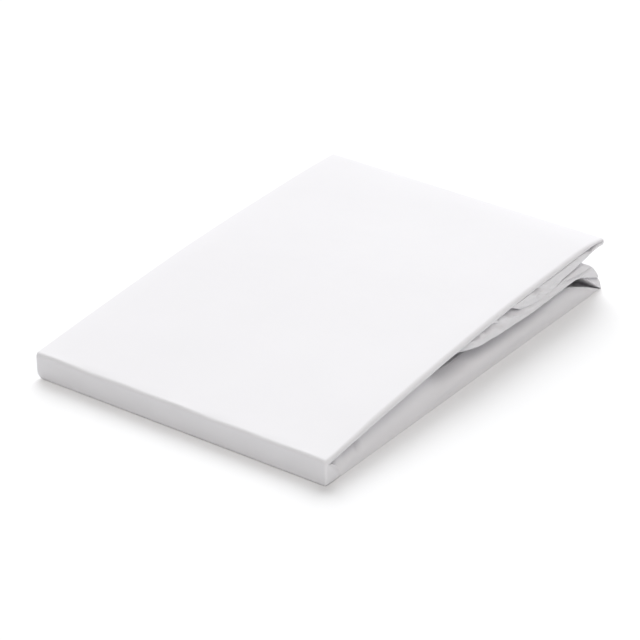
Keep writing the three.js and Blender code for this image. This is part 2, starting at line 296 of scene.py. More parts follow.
# Creases on the flaps' right rims, each a trough from one point (distance, height) to another,
# with its depth at both ends, how softly it opens above and below, and the ridge under it
CREASE_COLUMNS = ("from", "z", "to", "to_z", "depth", "end_depth", "above", "below", "ridge")
CREASE_STRENGTH = 2.0
CREASES = (
    (188, 36.0, 202, 32.6, 3.6, 0.4, 1.1, 1.1, 0.3),
    (191, 33.9, 199, 33.0, 2.9, 1.1, 2.1, 1.4, 0.0),
    (191, 35.3, 214, 37.0, 2.4, 3.4, 2.4, 2.2, 0.0),
    (207, 34.2, 218, 33.2, 3.7, 1.6, 2.6, 1.6, 0.0),
    (212, 37.6, 229, 30.8, 3.6, 0.3, 1.2, 1.2, 0.4),
    (216, 38.0, 232, 31.0, 0.2, 0.8, 2.6, 2.0, 0.0),
    (232, 37.5, 240, 34.5, 0.8, 0.1, 1.0, 0.6, 0.3),
    (227, 38.2, 243, 37.6, 3.8, 3.2, 2.0, 2.5, 0.0),
    (238, 38.0, 263, 30.4, 3.6, 0.2, 1.4, 1.5, 0.6),
    (241, 34.8, 253, 33.4, 2.3, 1.1, 2.4, 1.5, 0.0),
    (258, 34.0, 273, 30.0, 1.0, 0.2, 0.8, 0.8, 0.3),
    (249, 36.5, 274, 38.0, -0.6, -0.6, 3.0, 2.5, 0.0),
    (249, 38.6, 268, 39.6, -0.5, -0.5, 3.0, 2.6, 0.0),
    (279, 35.8, 296, 32.2, 0.9, 0.2, 0.8, 0.8, 0.5),
    (274, 41.0, 292, 36.8, 3.8, 0.2, 1.5, 1.4, 0.5),
    (300, 35.2, 318, 33.6, 0.6, 0.2, 1.0, 0.8, 0.3),
    (360, 26.0, 342, 27.0, 1.2, 1.2, 0.45, 0.5, 0.3),
    (342, 27.0, 318, 30.0, 1.2, 0.4, 0.45, 0.5, 0.3),
    (375, 11.2, 356, 19.0, 2.4, 2.8, 0.30, 1.5, 0.0),
    (375, 11.5, 354, 19.8, 1.4, 1.4, 0.40, 0.6, 0.0),
    (375, 10.2, 356, 18.0, 0.5, 0.6, 0.30, 3.4, 0.0),
    (356, 19.0, 345, 22.4, 2.4, 0.8, 0.30, 1.4, 0.0),
)


def table(rows, names):
    """The columns of a table by name."""
    return {name: np.array([row[i] for row in rows], float) for i, name in enumerate(names)}


LEFT = table(LEFT_ROWS, COLUMNS)
RIGHT = table(RIGHT_ROWS, COLUMNS)
LIP = table(LIP_ROWS, LIP_COLUMNS)
RISE = table(RISE_ROWS, RISE_COLUMNS)
WALL = table(WALL_ROWS, WALL_COLUMNS)


def lerp(a, b, part):
    return a + (b - a) * part


def smooth(value, low, high):
    part = np.clip((np.asarray(value, float) - low) / (high - low), 0, 1)
    return part * part * (3 - 2 * part)


def between(value, start, full, from_full, end):
    """1 from full to from_full, falling softly to 0 at start and end."""
    return float(smooth(value, start, full) * (1 - smooth(value, from_full, end)))


def column_at(rows, name, dist, key="from"):
    """A smooth curve through one column of a table."""
    at, col = rows[key], rows[name]
    dist = np.asarray(dist, float)
    i = np.clip(np.searchsorted(at, dist) - 1, 0, len(at) - 2)
    before, after = np.maximum(i - 1, 0), np.minimum(i + 2, len(at) - 1)
    span = at[i + 1] - at[i]
    part = np.clip((dist - at[i]) / span, 0, 1)
    start = (col[i + 1] - col[before]) / (at[i + 1] - at[before])
    end = (col[after] - col[i]) / (at[after] - at[i])
    square = part * part
    cube = square * part
    return (
        (2 * cube - 3 * square + 1) * col[i]
        + (cube - 2 * square + part) * span * start
        + (3 * square - 2 * cube) * col[i + 1]
        + (cube - square) * span * end
    )


def heights_at(dist, across):
    """Heights of the panels' faces at a distance from the spine, across from -1 to 1."""
    share = (across + 1) / 2
    size = {}
    for name in COLUMNS[1:]:
        size[name] = lerp(column_at(LEFT, name, dist), column_at(RIGHT, name, dist), share)
    found = {"crown": size["crown"]}
    found["top_under"] = found["crown"] - size["top"]
    found["upper_above"] = found["top_under"] - size["slit"]
    found["upper_under"] = found["upper_above"] - size["upper"]
    found["lower_above"] = found["upper_under"] - size["slot"]
    found["lower_under"] = found["lower_above"] - size["lower"]
    found["base_above"] = size["base"]
    return found


def ripple(a, b, spans, seed):
    """A soft wave from -1 to 1, from waves of the given lengths in seeded directions."""
    rng = np.random.default_rng(seed)
    total = 0
    for span in spans:
        way, phase = rng.uniform(0, math.tau, 2)
        total = total + np.sin(math.tau * (a * math.cos(way) + b * math.sin(way)) / span + phase)
    return total / math.sqrt(len(spans)) / 1.4


def uneven(name, a, b):
    """The soft unevenness of one kind at a place."""
    size, spans, seed = RIPPLES[name]
    return size * ripple(a, b, spans, seed)


def beside_rim(x, band):
    """How far a place lies into a band beside the right rim, from 0 to 1."""
    return smooth(x, HALF - band[0], HALF - band[1])


def seam_at(dist):
    """How far the two flaps close up to one face, from 0 to 1."""
    return smooth(dist, *SEAM[:2]) * (1 - smooth(dist, *SEAM[2:]))


def far_fold(across):
    """Distance of the far top fold from the spine."""
    return DEPTH + lerp(OVERHANG_LEFT, OVERHANG_RIGHT, (across + 1) / 2)


# Rows of the cloth along its path. Each gives, for places x and across, the outer and the inner
# face of the ten plies as (distance from the spine, height).
rows = []


def add_row(faces, kind, key, right_inset=0.0, left_inset=0.0, inner_inset=INNER_RIM_INSET, **rest):
    row = {"faces": faces, "kind": kind, "key": key, "right": right_inset, "left": left_inset}
    row["profile"] = np.array(PROFILES.get(kind, CORNER_PROFILE))
    rows.append({**row, "inner": inner_inset, "lap": None, **rest})


def spaced(start, end, step):
    """Distances from start to end, about a step apart."""
    count = max(1, round(abs(end - start) / step))
    return list(np.linspace(start, end, count + 1))


def flap_inner_inset(dist):
    """How far the rims of the flaps' inner plies stay back, with room for the creases."""
    return INNER_RIM_INSET + CREASE_ROOM * between(dist, *CREASE_ROOM_ALONG)


def upper_flap_row(part, key):
    def faces(x, across):
        dist = lerp(UPPER_END, far_fold(across) - FAR_FOLD_ROUND, part)
        h = heights_at(dist, across)
        gap = TIP_GAP * np.exp(-(((dist - TIP_GAP_AT) / TIP_GAP_SIZE) ** 2)) * beside_rim(x, UPPER_BAND)
        rise = LOBE_RISE * lobe * beside_rim(x, UPPER_BAND)
        return (dist, h["upper_under"]), (dist, h["upper_above"] - gap + rise)

    back = FLAP_INSET * (1 - smooth(part * DEPTH, UPPER_BACK_TO, UPPER_FULL_FROM))
    lobe = between(part * DEPTH, *LOBE)
    closed = np.array((SEAM_POWER, UPPER_PROFILE[1], 0.5, RIM_RADIUS))
    profile = lerp(np.array(UPPER_PROFILE), closed, float(seam_at(part * DEPTH)))
    profile[1] = lerp(UPPER_PROFILE[1], LOBE_POWER, lobe)
    left_inset = UPPER_LEFT_INSET * (1 - part)
    inner_inset = flap_inner_inset(part * DEPTH)
    add_row(faces, "upper", key, float(back), left_inset, inner_inset, profile=profile)


def far_fold_row(angle):
    def faces(x, across):
        dist = far_fold(across) - FAR_FOLD_ROUND
        h = heights_at(dist, across)
        cos, sin = math.cos(angle), math.sin(angle)
        outer = (h["crown"] + h["upper_under"]) / 2 + (h["crown"] - h["upper_under"]) / 2 * sin
        inner = (h["top_under"] + h["upper_above"]) / 2 + (h["top_under"] - h["upper_above"]) / 2 * sin
        return (dist + FAR_FOLD_ROUND * cos, outer), (dist + FAR_FOLD_INSIDE * cos, inner)

    profile = lerp(np.array(UPPER_PROFILE), np.array(TOP_PROFILE), (math.sin(angle) + 1) / 2)
    add_row(faces, "far", True, inner_inset=TOP_INNER_RIM_INSET, profile=profile)


def top_row(part, key):
    def faces(x, across):
        far = far_fold(across) - FAR_FOLD_ROUND
        outer = lerp(SPINE_TOP_RADIUS, far, part)
        inner = lerp(SPINE_WAD + INSIDE_RADIUS, far, part)
        crown = heights_at(outer, across)["crown"] + uneven("top", x, outer)
        return (outer, crown), (inner, heights_at(inner, across)["top_under"])

    turned = float(smooth(part * DEPTH, *CORNER_PROFILE_TO))
    profile = lerp(np.array(CORNER_PROFILE), np.array(TOP_PROFILE), turned)
    add_row(faces, "top", key, inner_inset=TOP_INNER_RIM_INSET, profile=profile)


def spine_edge_wave(x):
    """How the spine's top edge wanders."""
    return uneven("spine_edge", x, 0 * x)


def spine_top_row(angle, inner_inset):
    def faces(x, across):
        crown = heights_at(SPINE_TOP_RADIUS, across)["crown"]
        under = heights_at(SPINE_WAD + INSIDE_RADIUS, across)["top_under"]
        cos, sin = math.cos(angle), math.sin(angle)
        swell = spine_edge_wave(x)
        outer = (
            SPINE_TOP_RADIUS * (1 + cos) + swell * -0.5 * cos,
            crown - SPINE_TOP_RADIUS * (1 - sin) + swell * sin,
        )
        inner = (
            SPINE_WAD + INSIDE_RADIUS * (1 + cos),
            under - INSIDE_RADIUS * (1 - sin),
        )
        return outer, inner

    share = (angle - math.pi / 2) / (math.pi / 2)
    lap = {
        "length": lerp(LAP_TOP_LENGTH, lap_length(SPINE_STRAIGHT), share),
        "turn": angle - math.pi,
        "offset": 0.0,
        "corner": lerp(LAP_TOP_CORNER, CORNER_RADIUS, share),
        "weight": float(smooth(share, 0.0, 0.9)),
    }
    add_row(faces, "spine_top", True, inner_inset=inner_inset, lap=lap)


def lap_length(height):
    """How far the corner lap reaches along the right side from the spine, at a height."""
    slope = (LAP_TOP[0] - LAP_FOOT[0]) / (LAP_TOP[1] - LAP_FOOT[1])
    return LAP_FOOT[0] + (max(height, LAP_FOOT[1] * 0.4) - LAP_FOOT[1]) * slope


def spine_row(part):
    def faces(x, across):
        top = heights_at(SPINE_TOP_RADIUS, across)["crown"] - SPINE_TOP_RADIUS
        inner_top = heights_at(SPINE_WAD + INSIDE_RADIUS, across)["top_under"] - INSIDE_RADIUS
        inner_foot = heights_at(SPINE_WAD + INSIDE_RADIUS, across)["base_above"] + INSIDE_RADIUS
        swell = 0.5 * spine_edge_wave(x) * (1 - part) ** 2 + uneven("spine", x, part * SPINE_FACE)
        fade = smooth(part, 1.0, 0.6)
        flare = SPINE_FLARE * np.clip((part - SPINE_FLARE_FROM) / (1 - SPINE_FLARE_FROM), 0, 1) ** 2
        outer = (swell * fade - flare, lerp(top, SPINE_FOOT_RADIUS, part))
        return outer, (SPINE_WAD, lerp(inner_top, inner_foot, part))

    lap = {
        "length": lap_length(lerp(SPINE_STRAIGHT, SPINE_FOOT_RADIUS, part)),
        "turn": 0.0,
        "offset": 0.0,
        "corner": CORNER_RADIUS,
        "weight": 1.0,
    }
    add_row(faces, "spine", True, lap=lap)


def foot_row(angle, part):
    def faces(x, across):
        above = heights_at(SPINE_WAD + INSIDE_RADIUS, across)["base_above"]
        cos, sin = math.cos(angle), math.sin(angle)
        outer = (SPINE_FOOT_RADIUS * (1 + cos) - SPINE_FLARE * (1 + sin), SPINE_FOOT_RADIUS * (1 + sin))
        inner = (SPINE_WAD + INSIDE_RADIUS * (1 + cos), above + INSIDE_RADIUS * (1 + sin))
        return outer, inner

    offset = CORNER_OFFSET / 2 * (smooth(part, 0.0, 0.2) + smooth(part, 0.8, 1.0))
    lap = {
        "length": lerp(lap_length(SPINE_FOOT_RADIUS), LAP_FOOT_LENGTH, part),
        "turn": math.pi / 2 * float(smooth(part, 0.1, 0.9)),
        "offset": float(offset),
        "corner": lerp(CORNER_RADIUS, FOOT_CORNER, part),
        "weight": 1.0,
    }
    add_row(faces, "foot", True, lap=lap)


def lipped(x, dist, height, angle, amount=1.0):
    """The inner face drawn to the lip of the curled fold beside the right rim."""
    part = amount * smooth(x, HALF - LIP_WIDTH, HALF - RIM_RADIUS)
    lip = [float(column_at(LIP, name, math.degrees(angle), "angle")) for name in ("dist", "z")]
    return lerp(dist, lip[0], part), lerp(height, lip[1], part)


def wall_top(dist):
    """Height of the wall's top edge."""
    under = heights_at(dist, 1.0)["top_under"] - WALL_CLEARANCE
    full = float(column_at(WALL, "z", dist, "dist"))
    drop = np.clip((dist - WALL_DROP_FROM) / (WALL_END - WALL_DROP_FROM), 0, 1)
    bulge = WALL_DROP_BULGE * math.sin(math.pi * drop)
    return float(lerp(min(full, float(under)), WALL_END_HEIGHT, drop) + bulge)


def base_row(dist, key):
    part = (dist - SPINE_FOOT_RADIUS) / (BASE_DEPTH - SPINE_FOOT_RADIUS)

    def faces(x, across):
        inner = lerp(SPINE_WAD + INSIDE_RADIUS, BASE_DEPTH - CURL_INSIDE_END, part)
        zero = 0 * across
        above = heights_at(inner, across)["base_above"]
        amount = smooth(dist, BASE_LIP_FROM, BASE_DEPTH)
        return (dist + zero, zero), lipped(x, inner + zero, above, 0.0, amount)

    lap = {
        "length": wall_top(dist),
        "turn": math.pi / 2,
        "offset": CORNER_OFFSET * float(1 - smooth(dist, *CORNER_OFFSET_TO)),
        "corner": FOOT_CORNER,
        "set": WALL_SET * float(smooth(dist, *WALL_SET_FROM)),
        "weight": float(1 - smooth(dist, *WALL_FADE)),
    }
    inner_inset = lerp(INNER_RIM_INSET, CURL_RIM_INSET, float(smooth(dist, *CURL_RIM_INSET_FROM)))
    add_row(faces, "base", key, inner_inset=inner_inset, lap=lap)


def curl_row(angle, key):
    def faces(x, across):
        outer_from = BASE_DEPTH - CURL_REACH
        inner_from = outer_from - CURL_INSIDE_END
        above = heights_at(BASE_DEPTH - CURL_INSIDE_END, across)["base_above"]
        under = heights_at(inner_from, across)["lower_under"]
        cos, sin = max(math.cos(angle), 0.0), max(math.sin(angle), 0.0)
        swell = math.sin(angle) * uneven("curl", x, angle * CURL_ARC)
        swell = swell * (1 - smooth(across, *CURL_CALM))
        height = heights_at(outer_from, across)["lower_above"]
        outer = (
            outer_from + CURL_REACH * cos ** CURL_HOLLOW + swell * cos,
            height * sin ** CURL_HOLLOW + swell * sin,
        )
        inner = (
            inner_from + CURL_REACH * cos ** CURL_INSIDE_HOLLOW + swell * cos,
            lerp(above, under, sin ** CURL_INSIDE_HOLLOW) + swell * sin,
        )
        return outer, lipped(x, inner[0], inner[1], angle)

    inner_inset = lerp(CURL_RIM_INSET, INNER_RIM_INSET, min(angle, 1.0))
    inner_inset += CREASE_ROOM * between(angle, *CREASE_ROOM_ANGLES)
    add_row(faces, "curl", key, inner_inset=inner_inset)


def lower_flap_row(part, key):
    def faces(x, across):
        outer = lerp(LOWER_END, LOWER_LENGTH, part)
        inner = lerp(LOWER_END, LOWER_LENGTH - CURL_INSIDE_END, part)
        swell = uneven("curl", x, CURL_ARC * math.pi / 2 + (1 - part) * CURL_RUN)
        swell = swell * smooth(part, 0.8, 1.0) * (1 - smooth(across, *CURL_CALM))
        rise = column_at(RISE, "rise", outer, "dist") * beside_rim(x, RISE_BAND)
        above = (outer + 0 * across, heights_at(outer, across)["lower_above"] + swell + rise)
        under = (inner + 0 * across, heights_at(inner, across)["lower_under"] + swell)
        amount = smooth(inner, LOWER_LIP_FROM, LOWER_LENGTH - CURL_INSIDE_END)
        return above, lipped(x, *under, math.pi / 2, amount)

    dist = part * LOWER_LENGTH
    back = FLAP_INSET * (1 - smooth(dist, LOWER_BACK_TO, LOWER_FULL_FROM))
    closed = np.array((SEAM_POWER, CRISP, 0.5, RIM_RADIUS))
    profile = lerp(np.array(LOWER_PROFILE), closed, float(seam_at(dist)))
    left_inset = LOWER_LEFT_INSET * (1 - part)
    add_row(faces, "lower", key, float(back), left_inset, flap_inner_inset(dist), profile=profile)


# Spacing of the rows: coarse inside, finer beside the creases, finest on them
FINE_FROM, CREASED_FROM, CREASED_TO = 160, 184, 322
COARSE, FINE, FINEST = 10, 2.4, 1.6
COARSE_EVERY = 5
FAR_FOLD_STEPS, TOP_STEPS, SPINE_TOP_STEPS, SPINE_STEPS = 8, 66, 6, 12
FOOT_STEPS, CURL_STEPS = 10, 72
BASE_FROM = 2.4
BASE_FINE_TO = 54
BASE_FINE, BASE_COARSE = 1.5, 3.7
LOWER_CREASED_TO, LOWER_FINE_TO, LOWER_FINE = 320, 150, 2.2

flap_distances = (
    spaced(0, FINE_FROM, COARSE)
    + spaced(FINE_FROM, CREASED_FROM, FINE)[1:]
    + spaced(CREASED_FROM, CREASED_TO, FINEST)[1:]
    + spaced(CREASED_TO, FLAP_LENGTH, FINE)[1:]
)
flap_parts = [d / FLAP_LENGTH for d in flap_distances]
for i, part in enumerate(flap_parts):
    upper_flap_row(part, i % COARSE_EVERY == 0)
for angle in np.radians(np.linspace(-90, 90, FAR_FOLD_STEPS + 1)[1:-1]):
    far_fold_row(float(angle))
for i, part in enumerate(spaced(1, 0, 1 / TOP_STEPS)):
    top_row(part, i % COARSE_EVERY == 0 or i in (1, TOP_STEPS - 1))
for i, angle in enumerate(np.radians(np.linspace(90, 180, SPINE_TOP_STEPS + 1)[1:])):
    spine_top_row(float(angle), lerp(TOP_INNER_RIM_INSET, INNER_RIM_INSET, (i + 1) / SPINE_TOP_STEPS))
for part in np.linspace(0, 1, SPINE_STEPS + 1)[1:-1]:
    spine_row(float(part))
for i, angle in enumerate(np.radians(np.linspace(180, 270, FOOT_STEPS + 1))):
    foot_row(float(angle), i / FOOT_STEPS)
base_distances = spaced(BASE_FROM, BASE_FINE_TO, BASE_FINE)
base_distances += spaced(BASE_FINE_TO, BASE_DEPTH, BASE_COARSE)[1:]
for i, dist in enumerate(base_distances):
    base_row(float(dist), i % COARSE_EVERY == 0 or i == len(base_distances) - 1)
for i, angle in enumerate(np.radians(np.linspace(0, 90, CURL_STEPS + 1)[1:-1])):
    curl_row(float(angle), i % 3 == 1)
lower_distances = (
    spaced(LOWER_LENGTH, LOWER_CREASED_TO, LOWER_FINE)
    + spaced(LOWER_CREASED_TO, CREASED_FROM, FINEST)[1:]
    + spaced(CREASED_FROM, LOWER_FINE_TO, FINE)[1:]
    + spaced(LOWER_FINE_TO, 0, COARSE)[1:]
)
lower_parts = [d / LOWER_LENGTH for d in lower_distances]
for i, part in enumerate(lower_parts):
    lower_flap_row(part, i % COARSE_EVERY == 0 or i == len(lower_parts) - 1)

# Columns across the cloth, in the order in which it runs from one hem to the other. A straight
# run keeps its ply's share of the thickness, a rim turns at the right and a fold at the left.
SHARES = (np.arange(PLIES) + 0.5) / PLIES
LEFT_SET = {0: 0.0, 1: 0.0, 8: 1.1, 7: 1.1, 2: 0.7, 3: 0.7, 6: 1.9, 5: 1.9, 9: 2.2, 4: 2.9}
FOLD_RADIUS = 0.42
RUN_COLUMNS, TOP_RUN_COLUMNS, BEND_COLUMNS = 6, 17, 4
columns = []


def straight(ply, count, to_right):
    """Columns of a run from one edge of the packet to the other."""
    for t in np.linspace(0, 1, count):
        columns.append({"kind": "run", "ply": ply, "t": float(t if to_right else 1 - t)})


def rim(start, end, count):
    """Columns of a turn at the right, from one ply to the next."""
    for t in np.linspace(0, 1, count + 2)[1:-1]:
        columns.append({"kind": "rim", "ply": start, "to": end, "t": float(t)})


def left_fold(start, end, count=BEND_COLUMNS):
    """Columns of a turn at the left."""
    for t in np.linspace(0, 1, count + 2)[1:-1]:
        columns.append({"kind": "fold", "ply": start, "to": end, "t": float(t)})


straight(9, RUN_COLUMNS, True)
rim(9, 0, RIM_POINTS)
straight(0, TOP_RUN_COLUMNS, False)
left_fold(0, 1)
fine_columns = len(columns)
for first, last, following in ((1, 8, 7), (7, 2, 3), (3, 6, 5)):
    straight(first, RUN_COLUMNS, True)
    rim(first, last, BEND_COLUMNS)
    straight(last, RUN_COLUMNS, False)
    left_fold(last, following)
straight(5, RUN_COLUMNS, True)
rim(5, 4, BEND_COLUMNS)
straight(4, RUN_COLUMNS, False)

kinds = np.array([c["kind"] for c in columns])
plies = np.array([c["ply"] for c in columns])
ts = np.array([c["t"] for c in columns])
tos = np.array([c.get("to", c["ply"]) for c in columns])
is_run, is_rim, is_fold = kinds == "run", kinds == "rim", kinds == "fold"
outer_rim = is_rim & ((plies == 9) & (tos == 0))
inner_rim = is_rim & ~outer_rim
near_ply, far_ply = SHARES[plies], SHARES[tos]
rim_angle = np.pi / 2 - np.pi * ts
rim_half = np.abs(near_ply - 0.5)
rim_sign = np.sign(near_ply - 0.5)
shares = np.where(is_rim, 0.5 + rim_sign * rim_half * np.sin(rim_angle), near_ply)
turned_left = (near_ply + far_ply) / 2 + (near_ply - far_ply) / 2 * np.cos(np.pi * ts)
shares = np.where(is_fold, turned_left, shares)
rim_cosine = np.clip(np.abs(np.cos(rim_angle)), 1e-6, 1)


def rim_reach(profile):
    """How far each point of a rim stands out."""
    outer_power, inner_power, _, depth = profile
    power = np.where(rim_angle < 0, outer_power, inner_power)
    power = np.where(outer_rim, power, INNER_RIM_POWER)
    turn = 1 - rim_cosine ** power
    plain = RIM_RADIUS * rim_half / rim_half.max()
    deep = np.where(outer_rim & (rim_angle < 0), depth, plain)
    return np.where(is_rim, plain - deep * turn, 0)


def rim_shares(split):
    """Where each column lies between the outer and the inner face."""
    sine = np.sin(rim_angle)
    below, above = split - RIM_EDGE, 1 - RIM_EDGE - split
    turned = split + np.where(sine < 0, below, above) * sine
    return np.where(outer_rim, turned, shares)


# Points of a lap or wall: on its inner side, round its foot corner, and all but those of its outer
# side. RUN_SET_BACK is how far the runs beside a lap end short of it, CREASE_FADE how far the
# creases reach in from the rim, and LAP_LOWERED where a wall's height follows its rounded edges.
LAP_INNER, LAP_CORNER = 8, 6
LAP_OTHERS = 2 + LAP_INNER + 3 + LAP_CORNER
RUN_SET_BACK = 0.2
CREASE_FADE = 9.0
LAP_LOWERED = (0.15, 0.55)
WAVE_PER_ROW = 1.7

left_set = np.array([LEFT_SET[p] for p in plies])
nested = ~np.isin(plies, (0, 9)) | inner_rim


def left_foot_shift(x, height):
    """How far the rounded foot of the left edge stays in."""
    lift = np.maximum(LEFT_FOOT_RADIUS - height, 0)
    shift = LEFT_FOOT_RADIUS - np.sqrt(LEFT_FOOT_RADIUS ** 2 - lift ** 2)
    return shift * smooth(-x, WIDTH / 4, WIDTH / 2)


def pleat_in(dist, height):
    """How far the pleat behind the corner lap draws the wall in: a valley that opens upwards."""
    rise = np.clip((height - LAP_FOOT[1]) / (LAP_TOP[1] - LAP_FOOT[1]), 0, 1.1)
    near = lerp(LAP_FOOT[0], LAP_TOP[0], rise)
    valley = lerp(LAP_FOOT[0] + 1.5, PLEAT_FAR[0], rise)
    before = np.clip((dist - near) / (valley - near), 0, 1) ** 1.2
    before = lerp(PLEAT_NEAR_SHARE, 1.0, before)
    after = 1 - smooth(dist, valley - 0.5, valley + 5 + PLEAT_SPREAD * rise)
    return PLEAT_DEPTH * rise * np.minimum(before, after)


def wall_in(dist, height):
    """How far the wall leans in at a distance from the spine and a height."""
    top = column_at(WALL, "z", dist, "dist")
    rise = np.clip(height / top, 0, 1.1)
    lean = column_at(WALL, "in", dist, "dist") * smooth(dist, *WALL_LEAN_FROM)
    lean = lean * (WALL_FLARE * rise + (1 - WALL_FLARE) * rise ** column_at(WALL, "power", dist, "dist"))
    start, full, from_full, end = WALL_ROLL_ALONG
    edge = np.clip(1 - (wall_top(float(np.mean(dist))) - height) / WALL_ROLL_DEPTH, 0, 1)
    lean = lean + WALL_ROLL * edge ** 2 * smooth(dist, start, full) * (1 - smooth(dist, from_full, end))
    wave = uneven("wall", dist, height * 1.4)
    lean = lean + wave * smooth(height, *WALL_WAVE_ABOVE) * smooth(dist, *WALL_WAVE_FROM)
    for at, level, size, depth in DENTS:
        away = ((dist - at) / size) ** 2 + ((height - level) / (1.6 * size)) ** 2
        lean = lean + depth * np.exp(-away)
    return np.minimum(lean + pleat_in(dist, height), WALL_DEEPEST)


def relief(dist, height):
    """Troughs and ridges of the creases on the flaps' right rims."""
    total = np.zeros_like(dist)
    for values in CREASES:
        c = dict(zip(CREASE_COLUMNS, values))
        dx, dz = c["to"] - c["from"], c["to_z"] - c["z"]
        length = math.hypot(dx, dz)
        ux, uz = dx / length, dz / length
        along = ((dist - c["from"]) * ux + (height - c["z"]) * uz) / length
        side = (height - c["z"]) * abs(ux) - (dist - c["from"]) * uz * math.copysign(1, ux)
        depth = lerp(c["depth"], c["end_depth"], np.clip(along, 0, 1))
        ends = smooth(along, -0.25, 0.05) * (1 - smooth(along, 0.9, 1.25))
        width = np.where(side > 0, c["above"], c["below"])
        trough = np.exp(-((side / width) ** 2))
        ridge = c["ridge"] * np.exp(-(((side + 2.2 * c["below"] + 0.6) / 1.3) ** 2))
        total = total + ends * (ridge - depth * trough)
    return CREASE_STRENGTH * total


def lap_points(row, outer, inner):
    """The outermost ply round a rim that reaches out as a lap or a wall: x offsets and places,
    in the order from the inner face to the outer one."""
    lap = row["lap"]
    base = np.array([lerp(outer[i], inner[i], RIM_EDGE) for i in (0, 1)])
    back = np.array([lerp(outer[i], inner[i], 1 - RIM_EDGE) for i in (0, 1)])
    way = np.array((math.cos(lap["turn"]), math.sin(lap["turn"])))
    reach, radius = lap["length"], lap["corner"]
    tip = base + way * reach
    found = []
    for t in (0.4, 1.0):
        found.append((-WALL_PLY_GAP - 1.2 * (1 - t) ** 2, *lerp(back, tip, 0.1 * t)))
    for t in 0.97 - 0.75 * np.linspace(1, 0, LAP_INNER) ** 1.3:
        found.append((-WALL_PLY_GAP, *lerp(back, tip, t)))
    for turn in np.radians((150, 90, 30)):
        out = -WALL_PLY_GAP / 2 * (1 - math.cos(turn))
        found.append((out, *(base + way * (reach - 0.25 + 0.25 * math.sin(turn)))))
    for t in np.linspace(0, 1, RIM_POINTS - LAP_OTHERS):
        found.append((0.0, *(base + way * lerp(reach - 0.35, radius, t ** 0.75))))
    for turn in np.radians(90 * np.linspace(0, 1, LAP_CORNER + 2)[1:-1]):
        along = radius * (1 - math.sin(turn))
        found.append((-radius * (1 - math.cos(turn)), *(base + way * along)))
    return np.array(found)


row_count, column_count = len(rows), len(columns)
points = np.zeros((row_count, column_count, 3))
pitch = np.zeros((row_count, column_count))
flap_kinds = ("upper", "lower", "curl")
for r, row in enumerate(rows):
    along = r * WAVE_PER_ROW
    soft = min(0.0, float(uneven("inner_rim", along * 1.5, 0.0))) if row["kind"] == "top" else 0.0
    rim_centre = HALF - row["right"] - RIM_RADIUS - np.where(nested, row["inner"], -soft)
    left_wave = uneven("left", along + plies * 37.0, plies * 11.0)
    left_edge = -HALF + row["left"] + left_set + np.where(left_set > 0, left_wave, 0) + FOLD_RADIUS
    x = np.where(is_run, lerp(left_edge, rim_centre, ts), 0)
    x = np.where(is_rim, rim_centre + rim_reach(row["profile"]), x)
    x = np.where(is_fold, left_edge - FOLD_RADIUS * np.sin(np.pi * ts), x)
    across = np.clip(2 * x / WIDTH, -1, 1)
    outer, inner = row["faces"](x, across)
    outer = [np.broadcast_to(v, x.shape) for v in outer]
    inner = [np.broadcast_to(v, x.shape) for v in inner]
    share = rim_shares(row["profile"][2])
    dist = lerp(outer[0], inner[0], share)
    height = lerp(outer[1], inner[1], share)
    pitch[r] = np.hypot(inner[0] - outer[0], inner[1] - outer[1]) / PLIES
    if row["lap"]:
        at = np.flatnonzero(outer_rim)[0]
        found = lap_points(row, [v[at] for v in outer], [v[at] for v in inner])
        weight = row["lap"]["weight"]
        lap_dist, lap_height = found[:, 1], found[:, 2]
        lap_x = HALF + found[:, 0] - row["lap"]["offset"]
        if row["kind"] == "base":
            lap_x = lap_x - wall_in(lap_dist, lap_height)
            recess = CORNER_RECESS * (1 - smooth(lap_dist, *CORNER_RECESS_TO))
            lap_x = lap_x - recess * smooth(lap_height, *CORNER_RECESS_ABOVE)
            lap_x = lap_x - row["lap"]["set"] * smooth(lap_height, *WALL_SET_ABOVE)
            lap_height = lap_height + found[:, 0] * smooth(lap_height / lap_height.max(), *LAP_LOWERED)
        x[outer_rim] = lerp(x[outer_rim], lap_x, weight)
        dist = dist.copy()
        height = height.copy()
        dist[outer_rim] = lerp(dist[outer_rim], lap_dist, weight)
        height[outer_rim] = lerp(height[outer_rim], lap_height, weight)
    runs = is_run & ~nested
    shift = np.where(runs & (plies == 0), x[outer_rim][-1] - RUN_SET_BACK - rim_centre, 0)
    shift = np.where(runs & (plies == 9), x[outer_rim][0] - RUN_SET_BACK - rim_centre, shift)
    x = x + shift * ts * runs
    if row["kind"] in flap_kinds:
        fade = 1 - smooth(rim_centre - x, 0, CREASE_FADE)
        fade = np.where(outer_rim, 1.0, np.where(nested, 0.0, fade))
        shown = fade * smooth(dist, *PROUD_FROM)
        x = x + fade * relief(dist, height) + PROUD * shown
        low_side = -np.sin(rim_angle)
        closing = seam_at(dist) * outer_rim * smooth(low_side, 0.1, 0.9)
        if row["kind"] == "upper":
            height = height - SEAM_DROOP * closing * (1 - smooth(low_side, 0.975, 1.0))
        else:
            flare = smooth(dist, *PROUD_FROM) * (1 - smooth(dist, *LOWER_FLARE_TO))
            x = x - SEAM_SET * closing + LOWER_FLARE * flare * outer_rim * smooth(-low_side, 0.1, 0.95)
        x = x + fade * uneven("rim", dist, height * 1.5)
    x = x + left_foot_shift(x, height)
    points[r, :, 0] = x
    points[r, :, 1] = dist + SPINE_Y
    points[r, :, 2] = height - SETTLED

key_rows = np.array([r for r, row in enumerate(rows) if row["key"] or r in (0, row_count - 1)])

# Where each point lies in the flat cloth, in metres, for the weave
step_along = np.linalg.norm(np.diff(points[:, 20, :], axis=0), axis=1)
cloth_v = np.concatenate([[0], np.cumsum(step_along)]) * METRE
step_across = np.linalg.norm(np.diff(points[::7], axis=1), axis=2).mean(0)
cloth_u = np.concatenate([[0], np.cumsum(step_across)]) * METRE

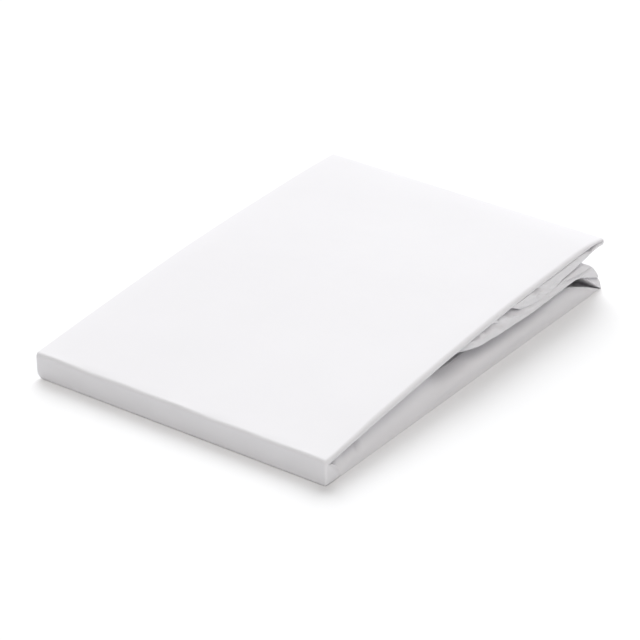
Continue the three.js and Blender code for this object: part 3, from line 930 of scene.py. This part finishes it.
index = -np.ones((row_count, column_count), int)
index[:, :fine_columns] = np.arange(row_count * fine_columns).reshape(row_count, fine_columns)
coarse_count = column_count - fine_columns
start = row_count * fine_columns
index[np.ix_(key_rows, np.arange(fine_columns, column_count))] = start + np.arange(
    len(key_rows) * coarse_count
).reshape(len(key_rows), coarse_count)
used = index >= 0
order = np.argsort(index[used])
middle = points[used][order]
vertex_pitch = pitch[used][order]
row_of, column_of = [v[order] for v in np.nonzero(used)]

polygons = []
fine = index[:, :fine_columns]
quads = np.stack([fine[:-1, :-1], fine[:-1, 1:], fine[1:, 1:], fine[1:, :-1]], -1).reshape(-1, 4)
coarse = index[key_rows][:, fine_columns:]
more = np.stack([coarse[:-1, :-1], coarse[:-1, 1:], coarse[1:, 1:], coarse[1:, :-1]], -1).reshape(-1, 4)
quads = np.concatenate([quads, more])
polygons.extend(quads.tolist())
for low, high in zip(key_rows[:-1], key_rows[1:]):
    seam = index[low:high + 1, fine_columns - 1].tolist()
    polygons.append([index[low, fine_columns], index[high, fine_columns], *seam[::-1]])

# Normals of the middle surface
normals = np.zeros_like(middle)
corner = middle[quads]
face_normal = np.cross(corner[:, 2] - corner[:, 0], corner[:, 3] - corner[:, 1])
for i in range(4):
    np.add.at(normals, quads[:, i], face_normal)
size = np.linalg.norm(normals, axis=1)
normals = normals / np.maximum(size, 1e-9)[:, None]

# The cloth's thickness: thinner where it is pinched, and doubled at the hems
u_at = cloth_u[column_of]
v_at = cloth_v[row_of]
edge = np.minimum(np.minimum(u_at, cloth_u[-1] - u_at), np.minimum(v_at, cloth_v[-1] - v_at))
half = np.where(edge < HEM_WIDTH, HEM_HALF, CLOTH_HALF)
half = np.minimum(half, PINCHED * vertex_pitch)
front = middle + normals * half[:, None]
back = middle - normals * half[:, None]

vertex_count = len(middle)
pairs = {}
for polygon in polygons:
    for a, b in zip(polygon, polygon[1:] + polygon[:1]):
        key = (a, b) if a < b else (b, a)
        pairs[key] = None if key in pairs else (a, b)
border = [pair for pair in pairs.values() if pair]
closed = list(polygons)
closed.extend([[v + vertex_count for v in reversed(polygon)] for polygon in polygons])
closed.extend([[b, a, a + vertex_count, b + vertex_count] for a, b in border])

mesh = bpy.data.meshes.new("folded_cloth")
mesh.from_pydata((np.concatenate([front, back]) * METRE).tolist(), [], closed)
mesh.validate()
mesh.update()
uv_layer = mesh.uv_layers.new(name="cloth")
loop_vertex = np.zeros(len(mesh.loops), int)
mesh.loops.foreach_get("vertex_index", loop_vertex)
loop_vertex = loop_vertex % vertex_count
uv = np.stack([u_at[loop_vertex], v_at[loop_vertex]], -1)
uv_layer.data.foreach_set("uv", uv.astype(np.float32).ravel())
mesh.polygons.foreach_set("use_smooth", [True] * len(mesh.polygons))
cloth = bpy.data.objects.new("folded_cloth", mesh)
bpy.context.scene.collection.objects.link(cloth)
border_set = {tuple(sorted(pair)) for pair in border}
sharp = mesh.attributes.new("sharp_edge", "BOOLEAN", "EDGE")
edge_vertices = np.zeros(len(mesh.edges) * 2, int)
mesh.edges.foreach_get("vertices", edge_vertices)
edge_vertices = edge_vertices.reshape(-1, 2)
same_side = (edge_vertices[:, 0] < vertex_count) == (edge_vertices[:, 1] < vertex_count)
wrapped = np.sort(edge_vertices % vertex_count, axis=1)
flags = [bool(s and (a, b) in border_set) for s, (a, b) in zip(same_side, wrapped.tolist())]
sharp.data.foreach_set("value", flags)


def node(tree, kind, **values):
    made = tree.nodes.new(kind)
    for name, value in values.items():
        setattr(made, name, value)
    return made


def math_node(tree, operation, a, b=None):
    made = node(tree, "ShaderNodeMath", operation=operation)
    for i, value in enumerate((a, b)):
        if value is None:
            continue
        if isinstance(value, (int, float)):
            made.inputs[i].default_value = value
        else:
            tree.links.new(value, made.inputs[i])
    return made.outputs[0]


THREAD_GAP = 0.00045
CLOTH_DARKER = (0.858, 0.850, 0.866, 1)
CLOTH_PALER = (0.890, 0.882, 0.898, 1)
CLOTH_ROUGHNESS = (0.80, 0.92)


def cotton():
    """Matt white percale: a fine plain weave with slubs, soft unevenness and a faint sheen."""
    material = bpy.data.materials.new("white_percale")
    material.use_nodes = True
    tree = material.node_tree
    shader = tree.nodes["Principled BSDF"]
    shader.inputs["Metallic"].default_value = 0.0
    shader.inputs["Sheen Weight"].default_value = 0.12
    shader.inputs["Sheen Roughness"].default_value = 0.45
    shader.inputs["Specular IOR Level"].default_value = 0.25
    place = node(tree, "ShaderNodeTexCoord")
    flat = node(tree, "ShaderNodeUVMap", uv_map="cloth")
    split = node(tree, "ShaderNodeSeparateXYZ")
    tree.links.new(flat.outputs["UV"], split.inputs[0])
    thread = math.pi / THREAD_GAP
    warp = math_node(tree, "SINE", math_node(tree, "MULTIPLY", split.outputs["X"], thread))
    weft = math_node(tree, "SINE", math_node(tree, "MULTIPLY", split.outputs["Y"], thread))
    weave = math_node(tree, "MULTIPLY", warp, weft)

    def noise(source, scale, detail, stretch=(1, 1, 1)):
        mapping = node(tree, "ShaderNodeMapping")
        mapping.inputs["Scale"].default_value = stretch
        tree.links.new(source, mapping.inputs["Vector"])
        made = node(tree, "ShaderNodeTexNoise")
        made.inputs["Scale"].default_value = scale
        made.inputs["Detail"].default_value = detail
        tree.links.new(mapping.outputs[0], made.inputs["Vector"])
        return made.outputs["Fac"]

    slub = noise(flat.outputs["UV"], 260, 3, (1, 7, 1))
    slub_across = noise(flat.outputs["UV"], 260, 3, (7, 1, 1))
    crumple = noise(place.outputs["Object"], 60, 4)
    tone = noise(place.outputs["Object"], 14, 3)

    blend = node(tree, "ShaderNodeMix", data_type="RGBA")
    blend.inputs["A"].default_value = CLOTH_DARKER
    blend.inputs["B"].default_value = CLOTH_PALER
    tree.links.new(tone, blend.inputs["Factor"])
    tree.links.new(blend.outputs["Result"], shader.inputs["Base Color"])

    rough = node(tree, "ShaderNodeMapRange")
    rough.inputs["To Min"].default_value = CLOTH_ROUGHNESS[0]
    rough.inputs["To Max"].default_value = CLOTH_ROUGHNESS[1]
    tree.links.new(slub, rough.inputs["Value"])
    tree.links.new(rough.outputs["Result"], shader.inputs["Roughness"])

    # Height, how far it stands out in metres, and strength: crumple, slubs and weave
    previous = None
    for height, distance, strength in (
        (crumple, 0.0004, 0.35),
        (math_node(tree, "ADD", slub, slub_across), 0.00008, 0.5),
        (weave, 0.00004, 0.5),
    ):
        bump = node(tree, "ShaderNodeBump")
        bump.inputs["Strength"].default_value = strength
        bump.inputs["Distance"].default_value = distance
        tree.links.new(height, bump.inputs["Height"])
        if previous:
            tree.links.new(previous, bump.inputs["Normal"])
        previous = bump.outputs["Normal"]
    tree.links.new(previous, shader.inputs["Normal"])
    return material


mesh.materials.append(cotton())
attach(cloth, "root")
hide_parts("sheet")

# Floor
FLOOR_REACH = 25.0
FLOOR_COLOR = (0.967, 0.969, 0.971, 1)
floor_mesh = bpy.data.meshes.new("floor")
floor_corners = [(FLOOR_REACH * a, FLOOR_REACH * b, 0) for a, b in ((-1, -1), (1, -1), (1, 1), (-1, 1))]
floor_mesh.from_pydata(floor_corners, [], [(0, 1, 2, 3)])
floor = bpy.data.objects.new("floor", floor_mesh)
bpy.context.scene.collection.objects.link(floor)
paper = bpy.data.materials.new("floor_white")
paper.use_nodes = True
paper_shader = paper.node_tree.nodes["Principled BSDF"]
paper_shader.inputs["Base Color"].default_value = FLOOR_COLOR
paper_shader.inputs["Roughness"].default_value = 1.0
paper_shader.inputs["Specular IOR Level"].default_value = 0.0
floor_mesh.materials.append(paper)
floor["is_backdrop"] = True

# Light: a pale surround, a large soft key from above, behind and to the left, and a faint fill.
# A sun is its direction, its spread in degrees, its strength and its colour.
WORLD_COLOR = (0.96, 0.98, 1.0, 1)
WORLD_STRENGTH = 0.22
KEY = ((-0.54, 0.66, 0.80), 50, 2.74, (0.97, 0.982, 1.0))
FILL = ((0.53, -0.40, 1.0), 34, 1.07, (1.0, 0.958, 0.925))
world = bpy.data.worlds.new("studio")
world.use_nodes = True
world.node_tree.nodes["Background"].inputs["Color"].default_value = WORLD_COLOR
world.node_tree.nodes["Background"].inputs["Strength"].default_value = WORLD_STRENGTH
bpy.context.scene.world = world


def soft_sun(name, toward, spread, strength, color):
    """A soft light that shines evenly from a direction."""
    light = bpy.data.lights.new(name, "SUN")
    light.angle = math.radians(spread)
    light.energy = strength
    light.color = color
    lamp = bpy.data.objects.new(name, light)
    lamp.rotation_mode = "QUATERNION"
    lamp.rotation_quaternion = (-Vector(toward)).to_track_quat("-Z", "Y")
    bpy.context.scene.collection.objects.link(lamp)


soft_sun("key", *KEY)
soft_sun("fill", *FILL)

# Camera, at the photo's viewing angle
CAMERA_ANGLES = (36.025, 27.58)
CAMERA_TARGET = (0.00569, -0.02202, 0.020)
CAMERA_DISTANCE = 1.87434
CAMERA_LENS = 136.21
azimuth, elevation = [math.radians(angle) for angle in CAMERA_ANGLES]
target = Vector(CAMERA_TARGET)
away = Vector(
    (
        math.sin(azimuth) * math.cos(elevation),
        -math.cos(azimuth) * math.cos(elevation),
        math.sin(elevation),
    )
)
camera_data = bpy.data.cameras.new("camera")
camera_data.sensor_width = 36.0
camera_data.lens = CAMERA_LENS
camera_data.clip_start, camera_data.clip_end = 0.05, 100.0
camera = bpy.data.objects.new("camera", camera_data)
camera.location = target + away * CAMERA_DISTANCE
camera.rotation_mode = "QUATERNION"
camera.rotation_quaternion = (-away).to_track_quat("-Z", "Y")
bpy.context.scene.collection.objects.link(camera)
bpy.context.scene.camera = camera
bpy.context.scene.view_settings.view_transform = "Standard"

low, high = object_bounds()
